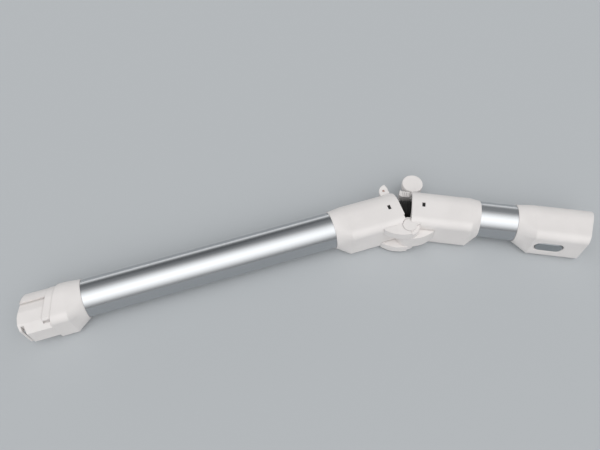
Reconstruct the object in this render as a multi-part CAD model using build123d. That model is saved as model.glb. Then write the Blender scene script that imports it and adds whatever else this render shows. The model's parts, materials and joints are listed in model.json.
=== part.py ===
"""Folding vacuum wand, lying on its side and part folded.

Working frame: x runs along the tube towards the cleaner, y from the hinge side to the latch side, z up.
The tube's axis is y = z = 0 and the hinge axis crosses x = 0. Both halves are drawn in line; the upper
half is then turned about the hinge, and the whole part is set down on its side.
"""
from build123d import *
import math
import os

# Tubes
TUBE_OD = 42.0
TUBE_WALL = 1.1
TUBE_INSERT = 20.0
TUBE_PLAY = 0.05
LONG_TUBE_SHOWN = 284.0
SHORT_TUBE_SHOWN = 42.5
TUBE_R = TUBE_OD / 2
TUBE_BORE_R = TUBE_R - TUBE_WALL

# Cross-section that the white fittings share: round on the latch side, flat on the hinge side
FITTING_WALL = 2.5
FACE_WALL = 7.5
CORNER = 9.0
TAPER = 16.0
LIP = 0.7
EDGE_ROUND = 0.8
SLANT = 12.5
HALF_WIDTH = TUBE_R + FITTING_WALL
FACE_DROP = TUBE_R + FACE_WALL
CUT_REACH = HALF_WIDTH + LIP
SLANT_REACH = TUBE_OD * math.tan(math.radians(SLANT))

# Fold
FOLD_ANGLE = 25.3
HINGE_BELOW_FACE = 2.5
FACE_GAP = 1.0
HOUSING_LENGTH = 83.0
UPPER_SHORTER = 2.0
UPPER_TAPER = 11.0
DUCT_WALL = 7.5
MOUTH_RIM = 3.2
MOUTH_DEPTH = 11.3
WALL_PLAY = 0.3
UPPER_LENGTH = HOUSING_LENGTH - UPPER_SHORTER
HINGE_DROP = FACE_DROP + HINGE_BELOW_FACE
HINGE = (0, -HINGE_DROP)
HOUSING_DUCT_R = HALF_WIDTH - DUCT_WALL
MOUTH_R = HALF_WIDTH - MOUTH_RIM
BACK_WALL = FACE_GAP + MOUTH_DEPTH

# Hinge knuckles, measured from the wand's middle plane
HINGE_INSET = 3.5
KNUCKLE_R = 11.8
KNUCKLE_HALF = 9.5
EAR_R = 7.8
EAR_THICKNESS = 2.4
EAR_NECK = 16.0
EAR_RELIEF = 2.6
FAIRING_REACH = 30.0
SWING_PLAY = 0.5
HINGE_PIN_R = 3.0
CAP_R = 4.6
CAP_THICKNESS = 0.9
RUNNING_PLAY = 0.06
PRESS_PLAY = 0.02
HINGE_FACE = HALF_WIDTH - HINGE_INSET
CHEEK_IN = KNUCKLE_HALF + WALL_PLAY
EAR_IN = HINGE_FACE - EAR_THICKNESS
CHEEK_OUT = EAR_IN - WALL_PLAY

# Bellows and its collars
BELLOWS_ROOM = 2.5
BELLOWS_FOLD = 2.2
BELLOWS_WALL = 0.8
BELLOWS_RINGS = 9
COLLAR_FLANGE = 2.6
COLLAR_SLEEVE = 12.0
COLLAR_PLAY = 0.2
WINDOW_AT = 14.6
WINDOW_V = -3.6
WINDOW_LENGTH = 3.6
WINDOW_WIDTH = 5.8
TAB_SUNK = 0.8
BELLOWS_R = HOUSING_DUCT_R - BELLOWS_ROOM
BELLOWS_ROOT_R = BELLOWS_R - BELLOWS_FOLD
COLLAR_SLEEVE_R = HOUSING_DUCT_R - COLLAR_PLAY

# Latch lever, its keeper and its pivot, set out from the housings' latch side
LATCH_AT = 5.2
LATCH_SUNK = 3.7
LATCH_PIN_R = 1.5
LATCH_HUB_R = 4.1
LATCH_HUB_HALF = 2.8
LATCH_HALF = 5.8
LATCH_SLOT_HALF = 6.8
LATCH_LUG = 3.0
DISC_AT = 3.1
DISC_STANDOFF = 14.1
DISC_R = 12.5
DISC_HALF = 5.0
DISC_ROUND = 1.2
TONGUE_SUNK = 6.9
BARB = 1.9
BARB_RISE = 2.0
RIB_PITCH = 2.6
RIB_PROUD = 0.5
RIB_COUNT = 3
STRIKER_AT = -8.5
STRIKER_STANDOFF = 2.5
STRIKER_R = 1.5
KEEPER_IN = 9.0
KEEPER_THICKNESS = 3.0
KEEPER_LENGTH = 11.5
KEEPER_HEIGHT = 10.5
LATCH_V = HALF_WIDTH - LATCH_SUNK
DISC_V = HALF_WIDTH + DISC_STANDOFF
TONGUE_LOW = HALF_WIDTH - TONGUE_SUNK
STRIKER_V = HALF_WIDTH + STRIKER_STANDOFF

# Lead and conduit
LEAD_INSET = 3.3
LEAD_CORE_R = 1.1
LEAD_PITCH = 7.0
LEAD_WEB = 0.7
LEAD_PLAY = 0.8
CONDUIT_WALL = 1.0
LEAD_V = LEAD_INSET - TUBE_BORE_R

# Plug
COLLAR_LENGTH = 28.5
SPIGOT_LENGTH = 35.5
SPIGOT_STEP = 3.0
SPIGOT_WALL = 4.0
SPIGOT_SHOULDER = 20.0
TIP_SQUARE = 2.6
PLUG_NECK_WALL = 5.8
STOP_LENGTH = 8.5
STOP_PROUD = 1.6
STOP_DROP = 22.0
STOP_SLOT = 1.8
STOP_SLOT_DEPTH = 5.0
RAIL_PROUD = 1.2
RAIL_V = 4.0
RAIL_SETBACK = 1.5
GROOVE_V = 6.3
GROOVE_DEPTH = 2.5
KEY_HALF = 11.0
KEY_STEP = 0.2
KEY_SETBACK = 3.0
FLANGE_DROP = 24.8
CATCH_SLOT = 3.2
CATCH_DROP = 21.5
CONTACT_WALL = 1.6
CONTACT_SETBACK = 2.5
CONTACT_R = 1.0
SLOT_WIDTH = 3.6
SPIGOT_R = HALF_WIDTH - SPIGOT_STEP
PLUG_DUCT_R = SPIGOT_R - SPIGOT_WALL
PLUG_NECK_R = TUBE_R - PLUG_NECK_WALL
KEY_DROP = FACE_DROP - KEY_STEP
LONG_START = HOUSING_LENGTH + LONG_TUBE_SHOWN
PLUG_START = LONG_START + COLLAR_LENGTH
PLUG_END = PLUG_START + SPIGOT_LENGTH
PLUG_TIP = PLUG_END + SLANT_REACH
CONTACT_START = KEY_SETBACK - PLUG_END
CONTACT_END = -PLUG_START - STOP_LENGTH

# Cuff
CUFF_LENGTH = 83.0
CUFF_TAPER = 18.5
SOCKET_WALL = 2.9
CUFF_NECK = 21.5
NECK_WALL = 6.5
SEAL_THICKNESS = 2.0
SEAL_SHOULDER = 0.8
CONTACT_SEAT = 3.0
KEYWAY_HALF = 7.5
KEYWAY_WALL = 4.7
BLADE_LENGTH = 6.0
BLADE_THICKNESS = 1.0
BLADE_WIDTH = 2.4
CUFF_START = UPPER_LENGTH + SHORT_TUBE_SHOWN
CUFF_END = CUFF_START + CUFF_LENGTH
SOCKET_FLOOR = CUFF_START + TUBE_INSERT + CUFF_NECK
SOCKET_R = HALF_WIDTH - SOCKET_WALL
CUFF_DUCT_R = HALF_WIDTH - NECK_WALL
KEYWAY_DROP = FACE_DROP - KEYWAY_WALL

# Release button, set out from the floor of the socket
BUTTON_BEHIND = 3.1
BUTTON_LENGTH = 31.0
BUTTON_WIDTH = 15.0
BUTTON_CORNER = 7.0
BUTTON_THICKNESS = 3.2
BUTTON_PROUD = 0.3
BUTTON_PLAY = 0.6
BUTTON_TRAVEL = 3.3
BUTTON_PIVOT_BEHIND = 5.0
BUTTON_PIN_R = 1.2
BUTTON_PIN_INSET = 0.4
BUTTON_BOSS_R = 2.4
BUTTON_BOSS_HALF = 4.0
BUTTON_ROUND = 1.6
BEZEL = 0.8
TOOTH_AHEAD = 9.0
TOOTH_LENGTH = 3.5
TOOTH_HALF = 3.5
TOOTH_RISE = 3.4
PIN_SEAT = 1.8
BUTTON_AT = SOCKET_FLOOR - BUTTON_BEHIND
BUTTON_PIVOT_AT = SOCKET_FLOOR - BUTTON_PIVOT_BEHIND
TOOTH_AT = SOCKET_FLOOR + TOOTH_AHEAD
BUTTON_INNER = FACE_DROP + BUTTON_PROUD - BUTTON_THICKNESS
BUTTON_PIVOT_V = BUTTON_PIN_INSET - BUTTON_INNER
BUTTON_PIN_HALF = BUTTON_WIDTH / 2 + BUTTON_PLAY + PIN_SEAT

# Springs
SPRING_WIRE_R = 0.35
BUTTON_SPRING_R = 2.1
BUTTON_SPRING_TURNS = 4
BUTTON_SPRING_BEHIND = 14.0
BUTTON_SPRING_WELL = 9.3
LATCH_SPRING_TURNS = 2.75
LATCH_SPRING_LEG = 5.9
LATCH_SPRING_HEEL = 4.5
BUTTON_SPRING_AT = SOCKET_FLOOR - BUTTON_SPRING_BEHIND
BUTTON_SPRING_SEAT = FACE_DROP - BUTTON_SPRING_WELL

# Screws that fix the fittings to the tubes
SCREW_HEAD_R = 2.6
SCREW_SHANK_R = 1.4
SCREW_POINT = 1.4
SCREW_SUNK = 1.1
SCREW_SLOT = 0.7
SCREW_LENGTH = FITTING_WALL + TUBE_WALL + SCREW_POINT

LOWER = -1
UPPER = 1
FIRST_FACE = 0
LAST_FACE = -1
JOINT_FACE = {LOWER: LAST_FACE, UPPER: FIRST_FACE}


def along(x):
    """Plane square to the tube at x, with the sketch's x towards the latch and its y up."""
    return Plane.YZ.offset(x)


def block(x0, x1, y0, y1, z0, z1):
    """Box between two corners."""
    centre = Pos((x0 + x1) / 2, (y0 + y1) / 2, (z0 + z1) / 2)
    return centre * Box(abs(x1 - x0), abs(y1 - y0), abs(z1 - z0))


def slab(sketch, z0, z1):
    """Sketch of the side view, given a thickness from z0 to z1."""
    return extrude(Pos(0, 0, z0) * sketch, z1 - z0)


def both_sides(sketch, z0, z1):
    """The same slab above and below the wand's middle plane."""
    upper = slab(sketch, z0, z1)
    return upper + mirror(upper, about=Plane.XY)


def bore(radius, x0, x1):
    """Round bar along the tube's axis, used to cut bores."""
    return extrude(along(x0) * Circle(radius), x1 - x0)


def cross_pin(radius, x, y, half_length):
    """Round pin parallel to the hinge."""
    return Pos(x, y, 0) * Cylinder(radius, 2 * half_length)


def tombstone(half, drop, corner):
    """Section that is round towards the latch and flat towards the hinge."""
    side = corner - drop
    return make_face([
        Line((0, half), (side, half)),
        CenterArc((side, half - corner), corner, 90, 90),
        Line((-drop, half - corner), (-drop, corner - half)),
        CenterArc((side, corner - half), corner, 180, 90),
        Line((side, -half), (0, -half)),
        CenterArc((0, 0), half, -90, 180),
    ])


def round_section(radius):
    """Circle cut into six arcs that answer to the six edges of the tombstone."""
    stops = (90, 118, 155, 205, 242, 270, 450)
    return make_face([CenterArc((0, 0), radius, a, b - a) for a, b in zip(stops, stops[1:])])


def fitting(flat_end, tube_end, taper):
    """White moulding: a straight length of the shared section that tapers down to the tube."""
    knee = tube_end - math.copysign(taper, tube_end - flat_end)
    wide = tombstone(HALF_WIDTH, FACE_DROP, CORNER)
    body = extrude(along(flat_end) * wide, knee - flat_end)
    sections = [along(knee) * wide, along(tube_end) * round_section(TUBE_R + LIP)]
    return body + loft(sections, ruled=True)


def slant_plane(x):
    """Plane across the wand at x, further towards the cleaner on the latch side."""
    slant = math.radians(SLANT)
    return Plane(origin=(x, 0, 0), x_dir=(0, 0, 1), z_dir=(math.cos(slant), -math.sin(slant), 0))


def soften(solid, end):
    """Rounds the outer rim of a moulding's first or last face along the tube."""
    rim = solid.faces().sort_by(Axis.X)[end].edges()
    return fillet(rim, EDGE_ROUND)


def fairing(side, reach, radius):
    """Side view of a knuckle that swells out of the flat face and rounds the hinge."""
    top = CORNER - FACE_DROP
    toe = (side * reach, -FACE_DROP)
    low = (0, -HINGE_DROP - radius)
    swell = make_face([
        Line((0, top), (toe[0], top)),
        Line((toe[0], top), toe),
        TangentArc(low, toe, tangent=(side, 0)),
        Line(low, (0, top)),
    ])
    return swell + Pos(*HINGE) * Circle(radius)


def housing(side, length, taper):
    """Sleeve of one hinge housing, with its tube socket, duct, mouth and snap windows."""
    seat = length - TUBE_INSERT
    body = soften(fitting(side * FACE_GAP, side * length, taper), JOINT_FACE[side])
    body -= bore(TUBE_R + TUBE_PLAY, side * length, side * seat)
    body -= bore(HOUSING_DUCT_R, side * length, side * FACE_GAP)
    body -= lead_groove(side * seat, side * FACE_GAP)
    window = slab(Pos(side * WINDOW_AT, WINDOW_V) * Rectangle(WINDOW_LENGTH, WINDOW_WIDTH), 0, HALF_WIDTH)
    body -= window + mirror(window, about=Plane.XY)
    return body - screw_hole(side * (length - TUBE_INSERT / 2))


def mouth(side):
    """Hollow round the bellows behind the housing's joint face."""
    return bore(MOUTH_R, side * FACE_GAP, side * BACK_WALL)


def latch_slot(x0, x1):
    """Slot through the latch side of a housing."""
    return block(x0, x1, TONGUE_LOW - KEEPER_THICKNESS, CUT_REACH, -LATCH_SLOT_HALF, LATCH_SLOT_HALF)


def keeper_ear():
    """Side view of one ear that holds the striker pin."""
    root = math.sqrt(MOUTH_R ** 2 - KEEPER_IN ** 2) + WALL_PLAY
    heel = STRIKER_AT - KEEPER_LENGTH / 2
    toe = STRIKER_AT + KEEPER_LENGTH / 2
    tip = (toe - STRIKER_R, HALF_WIDTH + KEEPER_HEIGHT)
    shoulder = (heel, HALF_WIDTH)
    return make_face([
        Line((toe, root), (heel, root)),
        Line((heel, root), shoulder),
        TangentArc(shoulder, tip, tangent=(0, 1)),
        Line(tip, (toe, HALF_WIDTH + KEEPER_HEIGHT / 2)),
        Line((toe, HALF_WIDTH + KEEPER_HEIGHT / 2), (toe, root)),
    ])


def ear_room():
    """Side view of the room that an outer ear and its neck sweep through."""
    low = -HINGE_DROP - EAR_R - KNUCKLE_R / 2
    high = -HINGE_DROP + EAR_R + KNUCKLE_R / 2
    right = 2 * EAR_NECK
    swept = Polyline((-EAR_RELIEF, low), (right, low), (right, high), (-EAR_RELIEF, high), close=True)
    return Pos(*HINGE) * Circle(EAR_R + SWING_PLAY) + make_face(swept)


def lower_housing():
    """Lower housing: two cheeks either side of the upper knuckle, and the keeper ears."""
    body = housing(LOWER, HOUSING_LENGTH, TAPER) - mouth(LOWER)
    body += both_sides(fairing(LOWER, FAIRING_REACH, KNUCKLE_R), CHEEK_IN, HINGE_FACE)
    body -= cross_pin(KNUCKLE_R + SWING_PLAY, *HINGE, CHEEK_IN)
    body -= both_sides(ear_room(), CHEEK_OUT, CUT_REACH)
    body -= latch_slot(-BACK_WALL - COLLAR_FLANGE, 0)
    body += both_sides(keeper_ear(), KEEPER_IN, KEEPER_IN + KEEPER_THICKNESS)
    body -= cross_pin(STRIKER_R + PRESS_PLAY, STRIKER_AT, STRIKER_V, HALF_WIDTH)
    return body - cross_pin(HINGE_PIN_R + PRESS_PLAY, *HINGE, HALF_WIDTH)


def hinge_ear():
    """Side view of a thin outer ear and the neck that joins it to the upper housing."""
    neck_top = CORNER - FACE_DROP + CORNER / 2
    neck = Polyline(
        HINGE,
        (EAR_R, -HINGE_DROP),
        (EAR_NECK, CORNER / 2 - FACE_DROP),
        (EAR_NECK + CORNER, CORNER - FACE_DROP),
        (EAR_NECK + CORNER, neck_top),
        (FACE_GAP, neck_top),
        close=True,
    )
    return Pos(*HINGE) * Circle(EAR_R) + make_face(neck)


def upper_housing():
    """Upper housing: one wide knuckle in the middle, two thin ears outside, and the latch lugs."""
    body = housing(UPPER, UPPER_LENGTH, UPPER_TAPER)
    body -= both_sides(Pos(*HINGE) * Circle(KNUCKLE_R + SWING_PLAY), KNUCKLE_HALF, EAR_IN)
    lug = Pos(LATCH_AT - HOUSING_LENGTH / 2 + LATCH_HUB_R, LATCH_V)
    lug *= Rectangle(HOUSING_LENGTH, 2 * LATCH_HUB_R)
    lugs = both_sides(lug, LATCH_SLOT_HALF, LATCH_SLOT_HALF + LATCH_LUG)
    body -= mouth(UPPER) - lugs
    knuckle = slab(fairing(UPPER, FAIRING_REACH, KNUCKLE_R), -KNUCKLE_HALF, KNUCKLE_HALF)
    body += knuckle - bore(HOUSING_DUCT_R, -TUBE_R, UPPER_LENGTH) - mouth(UPPER)
    body += both_sides(hinge_ear(), EAR_IN, HINGE_FACE)
    body -= latch_slot(0, LATCH_AT + LATCH_HUB_R + SWING_PLAY)
    body -= cross_pin(LATCH_PIN_R + PRESS_PLAY, LATCH_AT, LATCH_V, LATCH_SLOT_HALF + LATCH_LUG)
    pin_top = HINGE_FACE - EAR_THICKNESS / 2
    body -= slab(Pos(*HINGE) * Circle(HINGE_PIN_R + RUNNING_PLAY), -HALF_WIDTH, pin_top)
    return body - slab(Pos(*HINGE) * Circle(CAP_R), -HINGE_FACE, CAP_THICKNESS - HINGE_FACE)


def hinge_pin():
    """Steel pin of the fold, blind in the upper ear."""
    end = HINGE_FACE - EAR_THICKNESS / 2
    return slab(Pos(*HINGE) * Circle(HINGE_PIN_R), CAP_THICKNESS - HINGE_FACE + WALL_PLAY, end - WALL_PLAY)


def hinge_cap():
    """Plug that closes the pin's hole on the side that the wand lies on."""
    cap = Pos(*HINGE) * Circle(CAP_R - PRESS_PLAY)
    return slab(cap, -HINGE_FACE, CAP_THICKNESS - HINGE_FACE)


def bellows_collar(side):
    """Ring that holds one end of the bellows, with two tabs that snap into the housing's windows."""
    back = side * (BACK_WALL - PRESS_PLAY)
    face = side * (BACK_WALL - COLLAR_FLANGE)
    end = side * (BACK_WALL + COLLAR_SLEEVE)
    ring = bore(MOUTH_R - WALL_PLAY, face, back) + bore(COLLAR_SLEEVE_R, back, end)
    tab = Pos(side * WINDOW_AT, WINDOW_V) * Rectangle(WINDOW_LENGTH - WALL_PLAY, WINDOW_WIDTH - WALL_PLAY)
    ring += both_sides(tab, BELLOWS_ROOT_R, HALF_WIDTH - TAB_SUNK)
    ring -= bore(BELLOWS_ROOT_R - BELLOWS_WALL, face, end)
    ring -= latch_slot(face, end)
    return ring - lead_groove(face, end)


def fold_frame(share):
    """Plane of one bellows ring, at a share of the way from the lower collar to the upper one."""
    straight = BACK_WALL - COLLAR_FLANGE
    arc = math.radians(FOLD_ANGLE) * HINGE_DROP
    distance = share * (2 * straight + arc)
    turn = min(max((distance - straight) / HINGE_DROP, 0), math.radians(FOLD_ANGLE))
    ahead = distance - straight - turn * HINGE_DROP
    tangent = Vector(math.cos(turn), -math.sin(turn), 0)
    centre = Vector(HINGE_DROP * math.sin(turn), HINGE_DROP * math.cos(turn) - HINGE_DROP, 0)
    return Plane(origin=centre + tangent * ahead, x_dir=(0, 0, 1), z_dir=tangent)


def bellows():
    """Corrugated hose whose rings fan out about the hinge."""
    count = 2 * BELLOWS_RINGS
    radii = [BELLOWS_R if i % 2 else BELLOWS_ROOT_R for i in range(count + 1)]
    frames = [fold_frame(i / count) for i in range(count + 1)]
    outside = loft([f * Circle(r) for f, r in zip(frames, radii)], ruled=True)
    inside = loft([f * Circle(r - BELLOWS_WALL) for f, r in zip(frames, radii)], ruled=True)
    return outside - inside


def disc_edges(solid):
    """The two rims of the latch's thumb disc."""
    return [e for e in solid.edges().filter_by(GeomType.CIRCLE) if abs(e.radius - DISC_R) < PRESS_PLAY]


def fold_latch():
    """Lever with a round thumb disc above its pivot and a ribbed tongue with a hook below."""
    disc = slab(Pos(DISC_AT, DISC_V) * Circle(DISC_R), -DISC_HALF, DISC_HALF)
    disc = fillet(disc_edges(disc), DISC_ROUND)
    pivot = Pos(LATCH_AT, LATCH_V)
    stem_ends = [(pivot * Circle(LATCH_HUB_R)).edge(), (Pos(DISC_AT, DISC_V) * Circle(LATCH_HUB_R)).edge()]
    stem = slab(make_face(make_hull(stem_ends)), -LATCH_HUB_HALF, LATCH_HUB_HALF)
    top = STRIKER_V - STRIKER_R - WALL_PLAY
    catch = STRIKER_AT - STRIKER_R - WALL_PLAY
    tip = catch - BARB
    tongue = make_face(Polyline(
        (LATCH_AT, TONGUE_LOW),
        (tip + BARB, TONGUE_LOW),
        (tip, TONGUE_LOW + BARB),
        (tip, top),
        (catch, top + BARB_RISE),
        (catch, top),
        (0, top),
        (LATCH_AT, LATCH_V + LATCH_HUB_R),
        close=True,
    ))
    middle = LATCH_HALF - RIB_PROUD
    lever = disc + stem + slab(tongue, -LATCH_HUB_HALF, LATCH_HUB_HALF)
    lever += slab(tongue & Pos(-HOUSING_LENGTH / 2, 0) * Rectangle(HOUSING_LENGTH, HOUSING_LENGTH),
                  -middle, middle)
    rib = Rectangle(RIB_PITCH / 2, top - TONGUE_LOW - BARB)
    for i in range(RIB_COUNT):
        place = Pos(-RIB_PITCH * (i + 1), (top + TONGUE_LOW) / 2)
        lever += slab(place * rib, -LATCH_HALF, LATCH_HALF)
    return lever - cross_pin(LATCH_PIN_R + RUNNING_PLAY, LATCH_AT, LATCH_V, HALF_WIDTH)


def latch_spring():
    """Torsion spring beside the lever's hub, with one leg on the housing and one on the stem."""
    radius = LATCH_PIN_R + 2 * SPRING_WIRE_R
    pitch = 2 * SPRING_WIRE_R + PRESS_PLAY
    start = LATCH_HUB_HALF + 2 * SPRING_WIRE_R
    height = pitch * LATCH_SPRING_TURNS
    path = Helix(pitch, height, radius, lefthand=True)
    section = Plane(origin=path @ 0, z_dir=path % 0) * Circle(SPRING_WIRE_R)
    coil = sweep(section, path=path, is_frenet=True)
    leg = Plane(origin=(radius, PRESS_PLAY, 0), z_dir=(0, 1, 0)) * Circle(SPRING_WIRE_R)
    heel = Plane(origin=(PRESS_PLAY, radius, height), z_dir=(1, 0, 0)) * Circle(SPRING_WIRE_R)
    wires = [coil, extrude(leg, LATCH_SPRING_LEG), extrude(heel, LATCH_SPRING_HEEL)]
    return [Pos(LATCH_AT, LATCH_V, start) * wire for wire in wires]


def lead_section():
    """Flat two-core lead, seen along the tube."""
    core = Circle(LEAD_CORE_R)
    cores = Pos(LEAD_V, LEAD_PITCH / 2) * core + Pos(LEAD_V, -LEAD_PITCH / 2) * core
    return cores + Pos(LEAD_V, 0) * Rectangle(LEAD_WEB, LEAD_PITCH)


def lead_groove(x0, x1):
    """Room for the lead beside a round duct."""
    half = LEAD_PITCH / 2 + LEAD_CORE_R + LEAD_PLAY
    reach = LEAD_CORE_R + LEAD_PLAY
    return block(x0, x1, LEAD_V - reach, LEAD_V + 2 * reach, -half, half)


def lead(x0, x1):
    """Straight run of the lead."""
    return extrude(along(x0) * lead_section(), x1 - x0)


def hinge_lead():
    """The lead's crossing of the fold, bent about the hinge."""
    end = BACK_WALL - COLLAR_FLANGE
    axis = Axis((0, -HINGE_DROP, 0), (0, 0, -1))
    bend = revolve(along(0) * lead_section(), axis, FOLD_ANGLE)
    return lead(-end, 0) + bend + fold(lead(0, end))


def conduit(x0, x1):
    """Strip that covers the lead on the tube's inner wall."""
    half = LEAD_PITCH / 2 + LEAD_CORE_R + LEAD_PLAY
    reach = LEAD_CORE_R + LEAD_PLAY
    top = LEAD_V + reach + CONDUIT_WALL
    strip = Pos(top - TUBE_R, 0) * Rectangle(2 * TUBE_R, 2 * (half + CONDUIT_WALL))
    outline = Circle(TUBE_BORE_R - TUBE_PLAY) & strip
    room = Pos(LEAD_V, 0) * Rectangle(2 * reach, 2 * half)
    return extrude(along(x0) * (outline - room), x1 - x0)


def tube(x0, x1, screws):
    """Drawn aluminium tube, drilled for its fixing screws."""
    body = bore(TUBE_R, x0, x1) - bore(TUBE_BORE_R, x0, x1)
    for x in screws:
        body -= screw_hole(x)
    return body


def screw_axis(x):
    """Place of a fixing screw on the side that the wand lies on, head outwards."""
    return Pos(x, 0, -HALF_WIDTH + SCREW_SUNK) * Rot(180, 0, 0)


def screw_shape():
    """Countersunk head and shank, pointing down from the origin."""
    below = (Align.CENTER, Align.CENTER, Align.MAX)
    head = Cone(SCREW_SHANK_R, SCREW_HEAD_R, SCREW_HEAD_R - SCREW_SHANK_R, align=below)
    return head + Cylinder(SCREW_SHANK_R, SCREW_LENGTH, align=below)


def screw_hole(x):
    """Countersunk hole for a fixing screw, open to the outside."""
    above = (Align.CENTER, Align.CENTER, Align.MIN)
    return screw_axis(x) * (screw_shape() + Cylinder(SCREW_HEAD_R, SCREW_SUNK, align=above))


def screw(x):
    """Countersunk self-tapping screw with a cross recess."""
    bar = Box(2 * SCREW_SHANK_R, SCREW_SLOT, 2 * SCREW_SLOT)
    return screw_axis(x) * (screw_shape() - bar - Rot(0, 0, 90) * bar)


def spigot_section(half):
    """Section of the plug: round towards the latch, with sides that draw in to a flat key."""
    return make_face([
        Line((0, half), (-SPIGOT_SHOULDER, half)),
        Line((-SPIGOT_SHOULDER, half), (-KEY_DROP, KEY_HALF)),
        Line((-KEY_DROP, KEY_HALF), (-KEY_DROP, -KEY_HALF)),
        Line((-KEY_DROP, -KEY_HALF), (-SPIGOT_SHOULDER, -half)),
        Line((-SPIGOT_SHOULDER, -half), (0, -half)),
        CenterArc((0, 0), half, -90, 180),
    ])


def slanted(section, x):
    """Length of a section from a slanted end at x into the plug's collar."""
    length = extrude(along(x - SLANT_REACH) * section, 2 * SLANT_REACH - x - PLUG_START)
    return split(length, bisect_by=slant_plane(x), keep=Keep.TOP)


def groove_section():
    """Wedge cut out of the spigot's side, deepest beside the rail."""
    return make_face(Polyline(
        (-GROOVE_V, SPIGOT_R),
        (RAIL_V, SPIGOT_R - GROOVE_DEPTH),
        (RAIL_V, CUT_REACH),
        (-GROOVE_V, CUT_REACH),
        close=True,
    ))


def spigot():
    """Keyed spigot: a grooved side, a rail on the latch side and a raised stop by the collar."""
    stop_at = -PLUG_START - STOP_LENGTH
    body = slanted(spigot_section(SPIGOT_R), -PLUG_END)
    groove = extrude(along(-PLUG_TIP) * groove_section(), PLUG_TIP + stop_at)
    body -= groove + mirror(groove, about=Plane.XY)
    rail_side = block(-PLUG_TIP, SLANT_REACH - PLUG_START, RAIL_V, CUT_REACH, -CUT_REACH, CUT_REACH)
    body += slanted(Circle(SPIGOT_R + RAIL_PROUD), RAIL_SETBACK - PLUG_END) & rail_side
    stop_side = block(-PLUG_TIP, SLANT_REACH - PLUG_START, -STOP_DROP, CUT_REACH, -CUT_REACH, CUT_REACH)
    body += slanted(spigot_section(SPIGOT_R + STOP_PROUD), stop_at) & stop_side
    lean = STOP_DROP * math.tan(math.radians(SLANT))
    slot = block(stop_at - lean, -PLUG_START - lean, -STOP_DROP - STOP_SLOT, -STOP_DROP,
                 SPIGOT_R - STOP_SLOT_DEPTH, CUT_REACH)
    body -= slot + mirror(slot, about=Plane.XY)
    body -= block(-PLUG_TIP, -PLUG_END - TIP_SQUARE, -FACE_DROP, CUT_REACH, -CUT_REACH, CUT_REACH)
    body -= block(-PLUG_TIP, CONTACT_START, -FACE_DROP, -FLANGE_DROP, -CUT_REACH, CUT_REACH)
    slot_at = CONTACT_START - CATCH_SLOT
    return body - block(slot_at, CONTACT_START, -FACE_DROP, -CATCH_DROP, -CUT_REACH, CUT_REACH)


def lower_plug():
    """Collar on the tube and the spigot that goes into the floor head."""
    collar = fitting(-PLUG_START - SLANT_REACH, -LONG_START, TAPER)
    body = soften(split(collar, bisect_by=slant_plane(-PLUG_START), keep=Keep.TOP), FIRST_FACE)
    body += spigot()
    step = CONTACT_END - CONTACT_WALL
    body -= bore(PLUG_DUCT_R, -PLUG_TIP, step) + bore(PLUG_NECK_R, -PLUG_TIP, -LONG_START)
    body -= bore(TUBE_R + TUBE_PLAY, -LONG_START - TUBE_INSERT, -LONG_START)
    body -= contact_room()
    body -= lead_groove(step, -LONG_START - TUBE_INSERT)
    return body - screw_hole(-LONG_START - TUBE_INSERT / 2)


def contact_room():
    """Pocket in the plug's key for the contact block, open at the tip above the flange."""
    half = KEY_HALF - CONTACT_WALL
    top = LEAD_V - LEAD_CORE_R - LEAD_PLAY
    room = block(CONTACT_START, CONTACT_END, CONTACT_WALL - KEY_DROP, top, -half, half)
    return room + block(-PLUG_TIP, CONTACT_START, CONTACT_WALL - FLANGE_DROP, top, -half, half)


def contact_lines():
    """Heights across the wand of the two contacts, which are those of the lead's cores."""
    return (-LEAD_PITCH / 2, LEAD_PITCH / 2)


def contact_level():
    """Distance of the plug's contacts from the tube's axis, in the middle of their pocket."""
    return (CONTACT_WALL - KEY_DROP + LEAD_V - LEAD_CORE_R - LEAD_PLAY) / 2


def plug_contact_block():
    """Insulator with two open slots that shroud the contact pins."""
    start = CONTACT_START + CONTACT_SETBACK
    half = KEY_HALF - CONTACT_WALL - TUBE_PLAY
    body = block(start, CONTACT_END, CONTACT_WALL - KEY_DROP, LEAD_V - LEAD_CORE_R - LEAD_PLAY, -half, half)
    level = contact_level()
    side = SLOT_WIDTH / 2
    for z in contact_lines():
        body -= block(start, CONTACT_END - CONTACT_WALL, level - side, level + side, z - side, z + side)
        body -= plug_contact(z, PRESS_PLAY)
    return body


def plug_contact(z, swell):
    """Round brass pin with a tail that rises to the lead's core."""
    start = CONTACT_START + 2 * CONTACT_SETBACK
    radius = CONTACT_R + swell
    pin = Pos(0, contact_level(), z) * bore(radius, start, CONTACT_END)
    tail_start = CONTACT_END - CONTACT_WALL / 2 - swell
    return pin + block(tail_start, CONTACT_END + swell, contact_level(), LEAD_V, z - radius, z + radius)


def plug_contacts():
    """Both contact pins."""
    return [plug_contact(z, 0) for z in contact_lines()]


def button_outline(extra):
    """Oblong outline of the release button, in the plane of the cuff's flat face."""
    return RectangleRounded(BUTTON_LENGTH + 2 * extra, BUTTON_WIDTH + 2 * extra, BUTTON_CORNER + extra)


def button_plane(drop):
    """Plane parallel to the cuff's flat face, with its normal towards the tube's axis."""
    return Plane(origin=(BUTTON_AT, -drop, 0), x_dir=(1, 0, 0), z_dir=(0, 1, 0))


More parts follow.
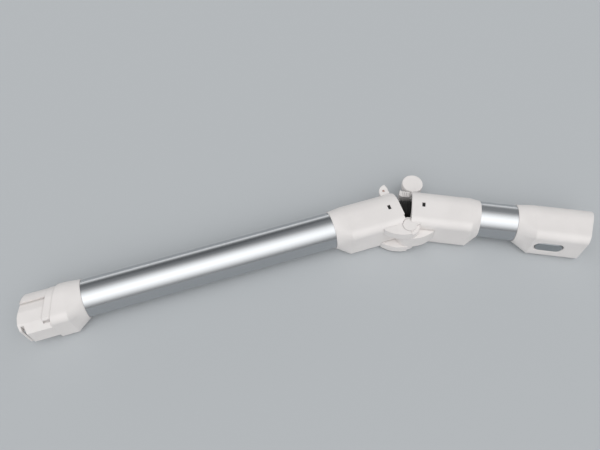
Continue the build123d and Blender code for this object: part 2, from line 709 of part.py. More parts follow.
def upper_cuff():
    """Socket for the cleaner, with the release button's pocket in its flat face."""
    body = fitting(CUFF_END + SLANT_REACH, CUFF_START, CUFF_TAPER)
    body = soften(split(body, bisect_by=slant_plane(CUFF_END), keep=Keep.BOTTOM), LAST_FACE)
    body -= bore(TUBE_R + TUBE_PLAY, CUFF_START, CUFF_START + TUBE_INSERT)
    body -= bore(CUFF_DUCT_R, CUFF_START, CUFF_END)
    body -= bore(SOCKET_R, SOCKET_FLOOR, CUFF_END + SLANT_REACH)
    body -= block(SOCKET_FLOOR, CUFF_END + SLANT_REACH, -KEYWAY_DROP, 0, -KEYWAY_HALF, KEYWAY_HALF)
    body -= lead_groove(CUFF_START + TUBE_INSERT, SOCKET_FLOOR) + seal_room(0) + contact_seat(0)
    pocket = button_plane(FACE_DROP) * button_outline(BUTTON_PLAY)
    body -= extrude(button_plane(FACE_DROP) * button_outline(BUTTON_PLAY + BEZEL), BEZEL, taper=45)
    body -= extrude(pocket, FACE_DROP - BUTTON_INNER + BUTTON_PLAY)
    press_end = BUTTON_PIVOT_AT + BUTTON_BOSS_R + BUTTON_PLAY
    body -= extrude(pocket, FACE_DROP - BUTTON_INNER + BUTTON_TRAVEL) & block(
        CUFF_START, press_end, -FACE_DROP, 0, -HALF_WIDTH, HALF_WIDTH)
    body -= spring_seat()
    tooth_half = TOOTH_HALF + BUTTON_PLAY
    tooth_room = (TOOTH_AT - TOOTH_LENGTH, TOOTH_AT + TOOTH_LENGTH)
    body -= block(*tooth_room, -BUTTON_INNER, BUTTON_PLAY - KEYWAY_DROP, -tooth_half, tooth_half)
    body -= cross_pin(BUTTON_PIN_R + PRESS_PLAY, BUTTON_PIVOT_AT, BUTTON_PIVOT_V, BUTTON_PIN_HALF)
    return body - screw_hole(CUFF_START + TUBE_INSERT / 2)


def spring_seat():
    """Round well for the button's spring."""
    well = BUTTON_SPRING_R + 2 * SPRING_WIRE_R
    plane = Plane(origin=(BUTTON_SPRING_AT, -FACE_DROP, 0), x_dir=(1, 0, 0), z_dir=(0, 1, 0))
    return extrude(plane * Circle(well), FACE_DROP - BUTTON_SPRING_SEAT)


def release_button():
    """Oblong rocker: pressing its tube end draws back the tooth at its mouth end."""
    plate = extrude(button_plane(FACE_DROP + BUTTON_PROUD) * button_outline(0), BUTTON_THICKNESS)
    rim = plate.faces().sort_by(Axis.Y)[0].edges()
    plate = fillet(rim, BUTTON_ROUND)
    boss = Pos(BUTTON_PIVOT_AT, BUTTON_PIVOT_V) * Circle(BUTTON_BOSS_R)
    plate += slab(boss, -BUTTON_BOSS_HALF, BUTTON_BOSS_HALF)
    tooth = (TOOTH_AT - TOOTH_LENGTH / 2, TOOTH_AT + TOOTH_LENGTH / 2)
    plate += block(*tooth, -BUTTON_INNER - BUTTON_ROUND, TOOTH_RISE - BUTTON_INNER, -TOOTH_HALF, TOOTH_HALF)
    return plate - cross_pin(BUTTON_PIN_R + RUNNING_PLAY, BUTTON_PIVOT_AT, BUTTON_PIVOT_V, HALF_WIDTH)


def button_spring():
    """Compression spring under the pressed end of the button."""
    length = BUTTON_INNER - BUTTON_SPRING_SEAT - 2 * SPRING_WIRE_R - PRESS_PLAY
    path = Helix(length / BUTTON_SPRING_TURNS, length, BUTTON_SPRING_R)
    section = Plane(origin=path @ 0, z_dir=path % 0) * Circle(SPRING_WIRE_R)
    coil = sweep(section, path=path, is_frenet=True)
    seat = Pos(BUTTON_SPRING_AT, SPRING_WIRE_R + PRESS_PLAY - BUTTON_INNER, 0)
    return seat * Rot(-90, 0, 0) * coil


def seal_room(play):
    """Recess in the socket's floor that holds the seal, taken in by some play."""
    start = SOCKET_FLOOR - SEAL_THICKNESS
    return bore(SOCKET_R - SEAL_SHOULDER - play, start, SOCKET_FLOOR)


def socket_seal():
    """Rubber ring set flush in the socket's floor."""
    ring = seal_room(PRESS_PLAY) - bore(CUFF_DUCT_R, SOCKET_FLOOR - SEAL_THICKNESS, SOCKET_FLOOR)
    return ring - contact_seat(0)


def contact_seat(play):
    """Recess behind the keyway for the contact block, taken in by some play."""
    half = KEYWAY_HALF - play
    top = LEAD_V - LEAD_CORE_R - LEAD_PLAY
    return block(SOCKET_FLOOR - CONTACT_SEAT, SOCKET_FLOOR, play - KEYWAY_DROP, top, -half, half)


def socket_contact_block():
    """Insulator at the keyway's inner end that carries the blades."""
    body = contact_seat(PRESS_PLAY)
    for z in contact_lines():
        body -= socket_blade(z, PRESS_PLAY)
    return body


def socket_blade(z, swell):
    """Flat brass blade that stands in the keyway, its tail on the lead's core."""
    start = SOCKET_FLOOR - CONTACT_SEAT
    level = -(KEYWAY_DROP + SOCKET_R) / 2
    half = BLADE_WIDTH / 2 + swell
    thick = BLADE_THICKNESS / 2 + swell
    end = SOCKET_FLOOR + BLADE_LENGTH
    blade = block(start - swell, end, level - thick, level + thick, z - half, z + half)
    return blade + block(start - swell, start + BLADE_THICKNESS + swell, level, LEAD_V, z - half, z + half)


def socket_contacts():
    """Both blades."""
    return [socket_blade(z, 0) for z in contact_lines()]


def fold(solid):
    """Turn a solid of the upper half about the hinge, from in line to the pose at rest."""
    return Pos(*HINGE, 0) * Rot(0, 0, -FOLD_ANGLE) * Pos(0, HINGE_DROP, 0) * solid


def lower_nodes():
    """Pieces of the lower half, in the working frame."""
    tube_end = HOUSING_LENGTH - TUBE_INSERT
    tube_start = LONG_START + TUBE_INSERT
    screws = [-LONG_START - TUBE_INSERT / 2, TUBE_INSERT / 2 - HOUSING_LENGTH]
    return {
        "lower_plug": lower_plug(),
        "plug_contact_block": plug_contact_block(),
        "plug_contacts": plug_contacts(),
        "long_tube": tube(-tube_start, -tube_end, screws),
        "lower_conduit": conduit(-tube_start, -tube_end),
        "lower_lead": lead(CONTACT_END, COLLAR_FLANGE - BACK_WALL),
        "lower_housing": lower_housing(),
        "lower_bellows_collar": bellows_collar(LOWER),
        "striker_pin": cross_pin(STRIKER_R, STRIKER_AT, STRIKER_V, KEEPER_IN + KEEPER_THICKNESS),
        "hinge_pin": hinge_pin(),
        "bellows": bellows(),
        "hinge_lead": hinge_lead(),
        "lower_screws": [screw(x) for x in screws],
    }


def upper_nodes():
    """Pieces of the upper half, in line with the lower half."""
    tube_start = UPPER_LENGTH - TUBE_INSERT
    tube_end = CUFF_START + TUBE_INSERT
    screws = [UPPER_LENGTH - TUBE_INSERT / 2, CUFF_START + TUBE_INSERT / 2]
    return {
        "upper_housing": upper_housing(),
        "upper_bellows_collar": bellows_collar(UPPER),
        "hinge_cap": hinge_cap(),
        "latch_pin": cross_pin(LATCH_PIN_R, LATCH_AT, LATCH_V, LATCH_SLOT_HALF + LATCH_LUG),
        "fold_latch": fold_latch(),
        "latch_spring": latch_spring(),
        "short_tube": tube(tube_start, tube_end, screws),
        "upper_conduit": conduit(tube_start, tube_end),
        "upper_lead": lead(BACK_WALL - COLLAR_FLANGE, SOCKET_FLOOR - CONTACT_SEAT),
        "upper_cuff": upper_cuff(),
        "socket_seal": socket_seal(),
        "socket_contact_block": socket_contact_block(),
        "socket_contacts": socket_contacts(),
        "button_pin": cross_pin(BUTTON_PIN_R, BUTTON_PIVOT_AT, BUTTON_PIVOT_V, BUTTON_PIN_HALF),
        "release_button": release_button(),
        "button_spring": button_spring(),
        "upper_screws": [screw(x) for x in screws],
    }


def as_solids(shape):
    """Separate solids of a node."""
    shapes = shape if isinstance(shape, list) else [shape]
    return [solid for s in shapes for solid in s.solids()]


def make_nodes():
    """All pieces in the row's frame, and the shift that puts them there."""
    nodes = {name: as_solids(shape) for name, shape in lower_nodes().items()}
    for name, shape in upper_nodes().items():
        nodes[name] = [fold(solid) for solid in as_solids(shape)]
    whole = Compound([solid for solids in nodes.values() for solid in solids]).bounding_box()
    shift = Pos(-whole.center().X, -whole.center().Y, -whole.min.Z)
    return {name: Compound([shift * s for s in solids]) for name, solids in nodes.items()}, shift


os.makedirs("parts", exist_ok=True)
nodes, shift = make_nodes()
for name, shape in nodes.items():
    export_step(shape, f"parts/{name}.step")
print("hinge axis", (shift * Pos(*HINGE, 0)).position)
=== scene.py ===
# %% [markdown]
# # A folding vacuum wand
# The wand of a stick vacuum cleaner lies on its flat side, folded part-way at its latched hinge. Its
# rigid pieces come from an engineering model that is loaded as a fixed frame. This lesson gives them
# finishes, models the two soft pieces that cross the fold and the spring that the button presses, and
# sets up light and a camera.

# %% Load the engineering frame
import bpy
import json
import math
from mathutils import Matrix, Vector


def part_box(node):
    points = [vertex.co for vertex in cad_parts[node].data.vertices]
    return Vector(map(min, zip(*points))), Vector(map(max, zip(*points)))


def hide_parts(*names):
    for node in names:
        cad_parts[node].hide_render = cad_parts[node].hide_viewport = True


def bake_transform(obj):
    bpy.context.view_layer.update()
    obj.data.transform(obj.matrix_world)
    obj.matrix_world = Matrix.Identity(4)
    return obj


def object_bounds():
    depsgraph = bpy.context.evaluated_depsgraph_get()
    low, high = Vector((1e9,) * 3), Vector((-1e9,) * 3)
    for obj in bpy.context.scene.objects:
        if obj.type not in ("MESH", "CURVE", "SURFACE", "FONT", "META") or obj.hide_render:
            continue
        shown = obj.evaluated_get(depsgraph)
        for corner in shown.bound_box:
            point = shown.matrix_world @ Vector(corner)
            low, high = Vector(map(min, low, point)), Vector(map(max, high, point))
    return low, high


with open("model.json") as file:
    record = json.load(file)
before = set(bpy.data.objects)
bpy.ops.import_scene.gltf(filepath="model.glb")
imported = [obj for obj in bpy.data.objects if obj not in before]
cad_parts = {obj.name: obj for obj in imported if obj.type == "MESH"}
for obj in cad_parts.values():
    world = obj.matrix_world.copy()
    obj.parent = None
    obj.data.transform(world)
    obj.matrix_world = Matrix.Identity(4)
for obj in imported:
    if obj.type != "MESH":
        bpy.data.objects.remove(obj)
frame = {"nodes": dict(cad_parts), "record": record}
cad_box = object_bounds()
MM = 0.001
joints = {joint["name"]: joint for joint in frame["record"]["behaviour"]["joints"]}
hinge = Vector(joints["fold_hinge"]["pos_m"])
fold = -math.radians(joints["fold_hinge"]["range_deg"][0])
print("nodes", len(frame["nodes"]), "hinge", tuple(hinge), "fold", round(math.degrees(fold), 1))

# %% [markdown]
# ## Colours and nodes
# Colours are written as sRGB hex, the way a paint chart gives them, and one function turns them to the
# linear values that the renderer works with. One more function adds a shader node, sets its options and
# joins its inputs, so that each finish below reads like a recipe.

# %% Colour and node helpers
def linear(hex_colour):
    """sRGB hex to linear RGBA, by the sRGB standard's curve."""
    channels = [int(hex_colour[i:i + 2], 16) / 255 for i in (0, 2, 4)]
    return [c / 12.92 if c <= 0.04045 else ((c + 0.055) / 1.055) ** 2.4 for c in channels] + [1.0]


def add(tree, kind, inputs=None, **options):
    """Adds a node, sets its options, and gives each named input a value or a link."""
    node = tree.nodes.new(kind)
    for name, value in options.items():
        setattr(node, name, value)
    for name, value in (inputs or {}).items():
        if isinstance(value, bpy.types.NodeSocket):
            tree.links.new(value, node.inputs[name])
        else:
            node.inputs[name].default_value = value
    return node


def new_material(name):
    """An empty material, with its tree, its surface shader and its object coordinates."""
    material = bpy.data.materials.new(name)
    material.use_nodes = True
    tree = material.node_tree
    tree.nodes.clear()
    shader = add(tree, "ShaderNodeBsdfPrincipled")
    add(tree, "ShaderNodeOutputMaterial", {"Surface": shader.outputs["BSDF"]})
    place = add(tree, "ShaderNodeTexCoord").outputs["Object"]
    return material, tree, shader, place


def finish(material, *nodes):
    """Puts a material on CAD nodes, in all their slots."""
    for name in nodes:
        for slot in frame["nodes"][name].material_slots:
            slot.material = material
    print(material.name, "on", len(nodes), "nodes")


def per_metre(size_mm):
    """Texture scale whose features are about this many millimetres across."""
    return 1 / (size_mm * MM)

# %% [markdown]
# ## White moulded ABS
# The fittings are injection-moulded ABS with a very fine satin grain from the mould. It gives the eye a
# soft broad highlight, a trace of unevenness in the gloss, and a surface that isn't perfectly flat. Grain
# of 0.1 mm is too fine to show here, so it is drawn at 0.5 mm. A mould also rounds every edge a little,
# which catches a thin line of light, and the Bevel node turns the shading at edges as such a round does.
# The inside corners get painted shade: the Ambient Occlusion node finds them and darkens the base colour
# there towards a darker shade colour. The black nylon of the bellows' collars and the grey plastic of the
# conduits are made in the same way.

# %% White ABS
CLOUD_MM = 30
GRAIN_MM = 0.5
GRAIN_DEPTH_MM = 0.02
MOULD_ROUND_MM = 0.5
# Reach of the painted shade that darkens inside corners.
PAINTED_SHADE_REACH_MM = 2.5
DULL_BELOW, PALE_ABOVE = 0.35, 0.65
GLOSSIER, DULLER = 0.04, 0.06
ABS_IOR = 1.53


def moulded_abs(name, pale, dull, painted_shade, roughness):
    """Moulded plastic: two close shades, painted shade in corners, uneven gloss, rounded edges, fine
    grain.
    """
    material, tree, shader, place = new_material(name)
    cloud = add(tree, "ShaderNodeTexNoise", {
        "Vector": place, "Scale": per_metre(CLOUD_MM), "Detail": 3.0})
    shade = add(tree, "ShaderNodeValToRGB", {"Fac": cloud.outputs["Fac"]})
    shade.color_ramp.elements[0].color = linear(dull)
    shade.color_ramp.elements[1].color = linear(pale)
    shade.color_ramp.elements[0].position = DULL_BELOW
    shade.color_ramp.elements[1].position = PALE_ABOVE
    gloss = add(tree, "ShaderNodeMapRange", {
        "Value": cloud.outputs["Fac"], "To Min": roughness - GLOSSIER, "To Max": roughness + DULLER})
    # Painted shade: ambient occlusion darkens the base colour in inside corners.
    corner_shade_mask = add(tree, "ShaderNodeAmbientOcclusion", {
        "Distance": PAINTED_SHADE_REACH_MM * MM}, samples=8, only_local=True)
    corner_shaded = add(tree, "ShaderNodeMixRGB", {
        "Fac": corner_shade_mask.outputs["AO"], "Color1": linear(painted_shade), "Color2": shade.outputs["Color"]})
    rounded = add(tree, "ShaderNodeBevel", {"Radius": MOULD_ROUND_MM * MM}, samples=6)
    grain = add(tree, "ShaderNodeTexNoise", {
        "Vector": place, "Scale": per_metre(GRAIN_MM), "Detail": 2.0})
    bump = add(tree, "ShaderNodeBump", {
        "Height": grain.outputs["Fac"], "Normal": rounded.outputs["Normal"],
        "Strength": 0.12, "Distance": GRAIN_DEPTH_MM * MM})
    tree.links.new(corner_shaded.outputs["Color"], shader.inputs["Base Color"])
    tree.links.new(gloss.outputs["Result"], shader.inputs["Roughness"])
    tree.links.new(bump.outputs["Normal"], shader.inputs["Normal"])
    shader.inputs["IOR"].default_value = ABS_IOR
    return material


# The third colour of each plastic is the painted shade for its inside corners.
white_abs = moulded_abs("satin_white_abs", "ece8e6", "e7e3e1", painted_shade="a19c99", roughness=0.52)
finish(white_abs, "lower_plug", "lower_housing", "upper_housing", "upper_cuff", "fold_latch",
       "hinge_cap")
black_nylon = moulded_abs("matt_black_nylon", "171616", "121111", painted_shade="121111", roughness=0.6)
finish(black_nylon, "lower_bellows_collar", "upper_bellows_collar", "plug_contact_block",
       "socket_contact_block")
conduit_grey = moulded_abs("extruded_grey_plastic", "9a9c9d", "929495", painted_shade="7c7e7f", roughness=0.45)
finish(conduit_grey, "lower_conduit", "upper_conduit")

# %% [markdown]
# ## Drawn and anodised aluminium, steel and brass
# The tubes are drawn through a die and clear anodised. Drawing leaves fine lines along the tube, which
# stretch highlights across it, and anodising dulls the metal a little and evens its colour. The lines are
# noise squeezed across the tube and stretched along it, so the short tube's pattern is turned with the
# fold. Pins, screws, springs and contacts are drawn or turned as well, with finer and shorter lines. The
# pin that the latch hooks on has the pale pink of a thin copper plating.

# %% Aluminium, steel and brass
LINE_DEPTH_MM = 0.01
LINE_GLOSS = 0.05


def drawn_metal(name, pale, dull, roughness, line_mm, run_mm, turn=0.0):
    """Metal with fine lines along its own axis, turned about the vertical."""
    material, tree, shader, place = new_material(name)
    lined = add(tree, "ShaderNodeMapping", {
        "Vector": place, "Rotation": (0, 0, turn),
        "Scale": (per_metre(run_mm), per_metre(line_mm), per_metre(line_mm))})
    lines = add(tree, "ShaderNodeTexNoise", {
        "Vector": lined.outputs["Vector"], "Scale": 1.0, "Detail": 3.0})
    shade = add(tree, "ShaderNodeValToRGB", {"Fac": lines.outputs["Fac"]})
    shade.color_ramp.elements[0].color = linear(dull)
    shade.color_ramp.elements[1].color = linear(pale)
    gloss = add(tree, "ShaderNodeMapRange", {
        "Value": lines.outputs["Fac"],
        "To Min": roughness - LINE_GLOSS, "To Max": roughness + LINE_GLOSS})
    bump = add(tree, "ShaderNodeBump", {
        "Height": lines.outputs["Fac"], "Strength": 0.08, "Distance": LINE_DEPTH_MM * MM})
    tree.links.new(shade.outputs["Color"], shader.inputs["Base Color"])
    tree.links.new(gloss.outputs["Result"], shader.inputs["Roughness"])
    tree.links.new(bump.outputs["Normal"], shader.inputs["Normal"])
    shader.inputs["Metallic"].default_value = 1.0
    return material


finish(drawn_metal("drawn_aluminium_long", "c4c6c8", "b9bcbf", roughness=0.22,
                   line_mm=0.6, run_mm=60), "long_tube")
finish(drawn_metal("drawn_aluminium_short", "c4c6c8", "b9bcbf", roughness=0.22,
                   line_mm=0.6, run_mm=60, turn=fold), "short_tube")
finish(drawn_metal("turned_steel", "b9babb", "a9aaab", roughness=0.28, line_mm=0.3, run_mm=4),
       "hinge_pin", "latch_pin", "button_pin", "lower_screws", "upper_screws")
spring_steel = drawn_metal("spring_steel_wire", "8f9092", "7c7d7f", roughness=0.3,
                           line_mm=0.3, run_mm=2)
finish(spring_steel, "latch_spring", "button_spring")
finish(drawn_metal("copper_plated_steel", "e2c6bc", "d6b6ab", roughness=0.4, line_mm=0.3, run_mm=4),
       "striker_pin")
finish(drawn_metal("bare_brass", "d0b068", "c09c50", roughness=0.25, line_mm=0.3, run_mm=4),
       "plug_contacts", "socket_contacts")

# %% [markdown]
# ## Silver lacquer
# The release button is moulded in ABS and sprayed with silver lacquer: fine metal flakes under a clear
# coat. The flakes give it the dark and bright of metal, and the clear coat adds a sharp thin gloss on
# top. Flakes are a few hundredths of a millimetre across, so they are drawn at 0.4 mm.

# %% Silver lacquer
FLAKE_MM = 0.4
silver, silver_tree, silver_shader, silver_place = new_material("silver_lacquer")
flakes = add(silver_tree, "ShaderNodeTexNoise", {
    "Vector": silver_place, "Scale": per_metre(FLAKE_MM), "Detail": 2.0})
sparkle = add(silver_tree, "ShaderNodeValToRGB", {"Fac": flakes.outputs["Fac"]})
sparkle.color_ramp.elements[0].color = linear("8e9397")
sparkle.color_ramp.elements[1].color = linear("a6abae")
flake_gloss = add(silver_tree, "ShaderNodeMapRange", {
    "Value": flakes.outputs["Fac"], "To Min": 0.24, "To Max": 0.34})
silver_tree.links.new(sparkle.outputs["Color"], silver_shader.inputs["Base Color"])
silver_tree.links.new(flake_gloss.outputs["Result"], silver_shader.inputs["Roughness"])
silver_shader.inputs["Metallic"].default_value = 0.9
silver_shader.inputs["Coat Weight"].default_value = 0.5
silver_shader.inputs["Coat Roughness"].default_value = 0.08
finish(silver, "release_button")

# %% [markdown]
# ## Soft rubber
# The bellows, the seal and the lead's sheath are black rubber: nearly black, with patches of a dull bloom
# that are a little paler. A fine grain keeps the highlight broken.

# %% Rubber
BLOOM_MM = 5
RUBBER_GRAIN_MM = 0.6
RUBBER_GRAIN_DEPTH_MM = 0.03
RUBBER_GLOSSIER, RUBBER_DULLER = 0.06, 0.08
RUBBER_IOR = 1.52


def soft_rubber(name, dark, bloom, roughness):
    """Black rubber with a faint paler bloom."""
    material, tree, shader, place = new_material(name)
    cloud = add(tree, "ShaderNodeTexNoise", {
        "Vector": place, "Scale": per_metre(BLOOM_MM), "Detail": 4.0})
    shade = add(tree, "ShaderNodeValToRGB", {"Fac": cloud.outputs["Fac"]})
    shade.color_ramp.elements[0].color = linear(dark)
    shade.color_ramp.elements[1].color = linear(bloom)
    gloss = add(tree, "ShaderNodeMapRange", {
        "Value": cloud.outputs["Fac"],
        "To Min": roughness - RUBBER_GLOSSIER, "To Max": roughness + RUBBER_DULLER})
    grain = add(tree, "ShaderNodeTexNoise", {
        "Vector": place, "Scale": per_metre(RUBBER_GRAIN_MM), "Detail": 2.0})
    bump = add(tree, "ShaderNodeBump", {
        "Height": grain.outputs["Fac"], "Strength": 0.2, "Distance": RUBBER_GRAIN_DEPTH_MM * MM})
    tree.links.new(shade.outputs["Color"], shader.inputs["Base Color"])
    tree.links.new(gloss.outputs["Result"], shader.inputs["Roughness"])
    tree.links.new(bump.outputs["Normal"], shader.inputs["Normal"])
    shader.inputs["IOR"].default_value = RUBBER_IOR
    return material


bellows_rubber = soft_rubber("black_bellows_rubber", "0b0a0a", "111010", roughness=0.75)
sheath_rubber = soft_rubber("black_lead_sheath", "121212", "1a1a1a", roughness=0.55)
finish(bellows_rubber, "bellows", "socket_seal")
finish(sheath_rubber, "lower_lead", "upper_lead", "hinge_lead")

# %% [markdown]
# ## Path across the fold
# Both soft pieces run straight out of the lower half, turn about the hinge, and run straight into the
# upper half. A function gives the place and heading at any share of that way, for a line that passes the
# hinge at a given distance. The bellows follows the tube's axis and the lead passes closer to the hinge.

# %% Path across the fold
HINGE_TO_AXIS = 31.0 * MM
COLLAR_FACE = 9.7 * MM


def across_fold(share, radius):
    """Place and turn at a share of the way across the fold, on a line this far from the hinge."""
    distance = share * (2 * COLLAR_FACE + fold * radius)
    turn = min(max((distance - COLLAR_FACE) / radius, 0.0), fold)
    ahead = distance - COLLAR_FACE - turn * radius
    heading = Vector((math.cos(turn), -math.sin(turn), 0))
    outward = Vector((math.sin(turn), math.cos(turn), 0))
    return hinge + outward * radius + heading * ahead, turn


start, _ = across_fold(0, HINGE_TO_AXIS)

# %% [markdown]
# ## Bellows
# The bellows is blow-moulded rubber with round folds. By hand it is one ring that is extruded again and
# again: each new ring moves along the path, turns with it, and is widened to a crest or drawn in to a
# root. Solidify gives the wall and Subdivision Surface rounds the folds. It is built bent between the
# two halves, at the fold's present angle.

# %% Bellows
CREST_R = 13.6 * MM
ROOT_R = 11.2 * MM
FOLDS = 9
WALL = 0.8 * MM
HOSE_POINTS = 48
ROUNDING_LEVELS = 2
FACING_ALONG = (0, math.pi / 2, 0)


def sweep_ring(radius_from_hinge, scales):
    """Extrudes the selected ring across the fold, with one size factor for each step."""
    place, turn = across_fold(0, radius_from_hinge)
    steps = len(scales) - 1
    for i in range(1, steps + 1):
        new_place, new_turn = across_fold(i / steps, radius_from_hinge)
        bpy.ops.mesh.extrude_region_move(TRANSFORM_OT_translate={"value": new_place - place})
        bpy.ops.transform.rotate(value=new_turn - turn, orient_axis="Z", center_override=new_place)
        factor = scales[i] / scales[i - 1]
        bpy.ops.transform.resize(value=(factor, factor, factor), center_override=new_place)
        place, turn = new_place, new_turn


def apply_all(obj):
    """Applies the modifiers, then the object's own place, so that its place is in its mesh."""
    for modifier in list(obj.modifiers):
        bpy.ops.object.modifier_apply(modifier=modifier.name)
    bpy.ops.object.transform_apply(location=True, rotation=True, scale=True)


bpy.ops.object.select_all(action="DESELECT")
bpy.ops.mesh.primitive_circle_add(
    vertices=HOSE_POINTS, radius=ROOT_R, location=start, rotation=FACING_ALONG)
hose = bpy.context.object
hose.name = "bellows_hose"
bpy.ops.object.transform_apply(location=True, rotation=True, scale=True)
bpy.ops.object.mode_set(mode="EDIT")
bpy.ops.mesh.select_all(action="SELECT")
sweep_ring(HINGE_TO_AXIS, [CREST_R if i % 2 else ROOT_R for i in range(2 * FOLDS + 1)])
bpy.ops.mesh.select_all(action="SELECT")
bpy.ops.mesh.normals_make_consistent(inside=False)
bpy.ops.object.mode_set(mode="OBJECT")
wall = hose.modifiers.new("wall", "SOLIDIFY")
wall.thickness = WALL
wall.offset = -1
rounding = hose.modifiers.new("rounding", "SUBSURF")
rounding.levels = ROUNDING_LEVELS
rounding.render_levels = ROUNDING_LEVELS
apply_all(hose)
bpy.ops.object.shade_smooth()
hose.data.materials.append(bellows_rubber)
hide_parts("bellows")
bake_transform(hose)
print("bellows faces", len(hose.data.polygons))

# %% [markdown]
# ## Lead across the fold
# The flat two-core lead crosses between the bellows and the hinge. Its section is a ring that is squeezed
# to a flat oval, and it is swept along the same kind of path, closer to the hinge, so it only flexes.

# %% Lead across the fold
LEAD_TO_HINGE = 14.4 * MM
LEAD_WIDTH = 9.2 * MM
LEAD_THICKNESS = 2.2 * MM
LEAD_STEPS = 12
LEAD_POINTS = 16
LEAD_SMOOTH_BELOW = math.radians(40)
lead_start, _ = across_fold(0, LEAD_TO_HINGE)
bpy.ops.object.select_all(action="DESELECT")
bpy.ops.mesh.primitive_circle_add(
    vertices=LEAD_POINTS, radius=LEAD_WIDTH / 2, location=lead_start, rotation=FACING_ALONG)
bridge = bpy.context.object
bridge.name = "lead_across_fold"
bpy.ops.object.transform_apply(location=True, rotation=True, scale=True)
bpy.ops.object.mode_set(mode="EDIT")
bpy.ops.mesh.select_all(action="SELECT")
bpy.ops.transform.resize(value=(1, LEAD_THICKNESS / LEAD_WIDTH, 1), center_override=lead_start)
bpy.ops.mesh.edge_face_add()
sweep_ring(LEAD_TO_HINGE, [1.0] * (LEAD_STEPS + 1))
bpy.ops.mesh.select_all(action="SELECT")
bpy.ops.mesh.normals_make_consistent(inside=False)
bpy.ops.object.mode_set(mode="OBJECT")
apply_all(bridge)
bpy.ops.object.shade_smooth_by_angle(angle=LEAD_SMOOTH_BELOW)
bridge.data.materials.append(sheath_rubber)
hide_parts("hinge_lead")
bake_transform(bridge)
print("lead faces", len(bridge.data.polygons))

# %% [markdown]
# ## Spring under the button
# The button's spring shortens when the button is pressed. By hand it is a small ring, the section of the
# wire, that the Screw modifier winds about the spring's axis. One end stands in the cuff's well and the
# other end at the button, and it is built at one fixed length.

# %% Button spring
WIRE_R = 0.35 * MM
WIRE_POINTS = 10
COIL_R = 2.1 * MM
COIL_TURNS = 4
COIL_RISE = 5.6 * MM
COIL_STEPS = 24
COIL_SMOOTH_BELOW = math.radians(60)
low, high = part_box("button_spring")
coil_centre = (low + high) / 2
inward = Vector((math.sin(fold), math.cos(fold), 0))
button_end = coil_centre - inward * (COIL_RISE / 2)
bpy.ops.object.select_all(action="DESELECT")
bpy.ops.mesh.primitive_circle_add(
    vertices=WIRE_POINTS, radius=WIRE_R, location=(COIL_R, 0, 0), rotation=(math.pi / 2, 0, 0))
coil = bpy.context.object
coil.name = "button_coil_spring"
bpy.ops.object.transform_apply(location=True, rotation=True, scale=True)
winding = coil.modifiers.new("winding", "SCREW")
winding.axis = "Z"
winding.angle = 2 * math.pi
winding.screw_offset = COIL_RISE / COIL_TURNS
winding.iterations = COIL_TURNS
winding.steps = COIL_STEPS
winding.render_steps = COIL_STEPS
bpy.ops.object.modifier_apply(modifier=winding.name)
bpy.ops.object.mode_set(mode="EDIT")
bpy.ops.mesh.select_all(action="SELECT")
bpy.ops.mesh.fill_holes(sides=0)
bpy.ops.mesh.normals_make_consistent(inside=False)
bpy.ops.object.mode_set(mode="OBJECT")
coil.location = button_end
coil.rotation_euler = inward.to_track_quat("Z", "Y").to_euler()
bpy.ops.object.transform_apply(location=True, rotation=True, scale=True)
bpy.ops.object.shade_smooth_by_angle(angle=COIL_SMOOTH_BELOW)
coil.data.materials.append(spring_steel)
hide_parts("button_spring")
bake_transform(coil)
print("button spring faces", len(coil.data.polygons))

# %% [markdown]
# ## Floor and light
# The wand lies on a plain pale floor inside a light tent, the way small products are photographed. A tent
# has no hard lamp, so its light is painted on the world: a bright panel above and a little in front that
# fades smoothly to grey walls, a weak panel on either side, and a pale band low at the back. The panel
# gives the tubes their long soft band, the grey walls give the dark bands beside it, and the pale band
# draws the thin line along the far edge.

# %% Floor
FLOOR_SIZE = 30.0
bpy.ops.object.select_all(action="DESELECT")
bpy.ops.mesh.primitive_plane_add(size=FLOOR_SIZE, location=(0, 0, cad_box[0][2]))
floor = bpy.context.object
floor.name = "floor"
bpy.ops.object.transform_apply(location=True, rotation=True, scale=True)
paper, _, paper_shader, _ = new_material("pale_paper")
paper_shader.inputs["Base Color"].default_value = linear("babec1")
paper_shader.inputs["Roughness"].default_value = 0.9
floor.data.materials.append(paper)
print("floor", FLOOR_SIZE, "m across")

# %% Light tent
PANEL = Vector((-0.1, -0.52, 0.85)).normalized()
PANEL_STRETCH = (0.9, 1.0, 1.0)
PANEL_GLOW = ((0.5, "484a4c"), (0.74, "525456"), (0.83, "8a8a8a"), (0.92, "cccccc"), (1.0, "ffffff"))
SIDE_PANEL = Vector((0.6, 0.1, 0.79)).normalized()
SIDE_GLOW = ((0.80, "000000"), (0.92, "5c5c5c"))
PALE_BAND = "dcdcdc"
BAND_TOP = 0.5
BAND_EDGE = 0.85
TENT_STRENGTH = 1.93


def glow_towards(tree, heading, target, glow):
    """Colour that depends on how close a heading is to a target, from a list of stops."""
    nearness = add(tree, "ShaderNodeVectorMath", {0: heading, 1: target}, operation="DOT_PRODUCT")
    share = add(tree, "ShaderNodeMapRange", {
        "Value": nearness.outputs["Value"], "From Min": -1.0, "From Max": 1.0})
    ramp = add(tree, "ShaderNodeValToRGB", {"Fac": share.outputs["Result"]})
    for position, _ in glow[2:]:
        ramp.color_ramp.elements.new(position)
    for element, (position, colour) in zip(ramp.color_ramp.elements, glow):
        element.position = position
        element.color = linear(colour)
    return ramp.outputs["Color"]


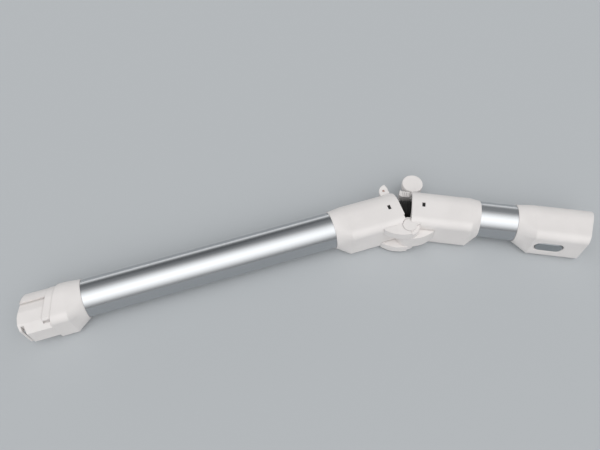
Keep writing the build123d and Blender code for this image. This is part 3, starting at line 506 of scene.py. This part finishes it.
world = bpy.data.worlds.new("light_tent")
bpy.context.scene.world = world
world.use_nodes = True
tent = world.node_tree
tent.nodes.clear()
heading = add(tent, "ShaderNodeTexCoord").outputs["Generated"]
squeezed = add(tent, "ShaderNodeVectorMath", {0: heading, 1: PANEL_STRETCH}, operation="MULTIPLY")
across = add(tent, "ShaderNodeVectorMath", {0: squeezed.outputs["Vector"]}, operation="NORMALIZE")
either_side = add(tent, "ShaderNodeVectorMath", {0: heading}, operation="ABSOLUTE")
panels = add(tent, "ShaderNodeMixRGB", {
    "Fac": 1.0, "Color1": glow_towards(tent, across.outputs["Vector"], PANEL, PANEL_GLOW),
    "Color2": glow_towards(tent, either_side.outputs["Vector"], SIDE_PANEL, SIDE_GLOW)},
    blend_type="ADD")
parts = add(tent, "ShaderNodeSeparateXYZ", {"Vector": heading}).outputs
above = add(tent, "ShaderNodeMapRange", {
    "Value": parts["Z"], "From Min": 0.0, "From Max": BAND_TOP}, interpolation_type="SMOOTHSTEP")
in_front = add(tent, "ShaderNodeMapRange", {
    "Value": parts["Y"], "From Min": BAND_EDGE, "From Max": 0.0})
off_band = add(tent, "ShaderNodeMath", {
    0: above.outputs["Result"], 1: in_front.outputs["Result"]}, operation="MAXIMUM")
walls = add(tent, "ShaderNodeMixRGB", {
    "Fac": off_band.outputs["Value"], "Color1": linear(PALE_BAND), "Color2": panels.outputs["Color"]})
light = add(tent, "ShaderNodeBackground", {
    "Color": walls.outputs["Color"], "Strength": TENT_STRENGTH})
add(tent, "ShaderNodeOutputWorld", {"Surface": light.outputs["Background"]})
print("panel towards", tuple(PANEL))

# %% [markdown]
# ## Camera
# The photograph looks down at the wand from the hinge side. The camera's place is measured from the hinge
# and its lens matches the photograph's perspective.

# %% Camera
CAMERA_FROM_HINGE = Vector((-221.4, -283.2, 587.1)) * MM
CAMERA_HEADING = math.radians(17.66)
CAMERA_PITCH = math.radians(59.3)
SENSOR_WIDTH_MM = 36.0
LENS_MM = 34.8
view = Vector((math.sin(CAMERA_HEADING) * math.cos(CAMERA_PITCH),
               math.cos(CAMERA_HEADING) * math.cos(CAMERA_PITCH), -math.sin(CAMERA_PITCH)))
bpy.ops.object.camera_add(location=hinge + CAMERA_FROM_HINGE)
camera = bpy.context.object
camera.rotation_euler = view.to_track_quat("-Z", "Y").to_euler()
camera.data.sensor_width = SENSOR_WIDTH_MM
camera.data.lens = LENS_MM
bpy.context.scene.camera = camera
bpy.context.scene.view_settings.view_transform = "Standard"
print("camera", tuple(camera.location))
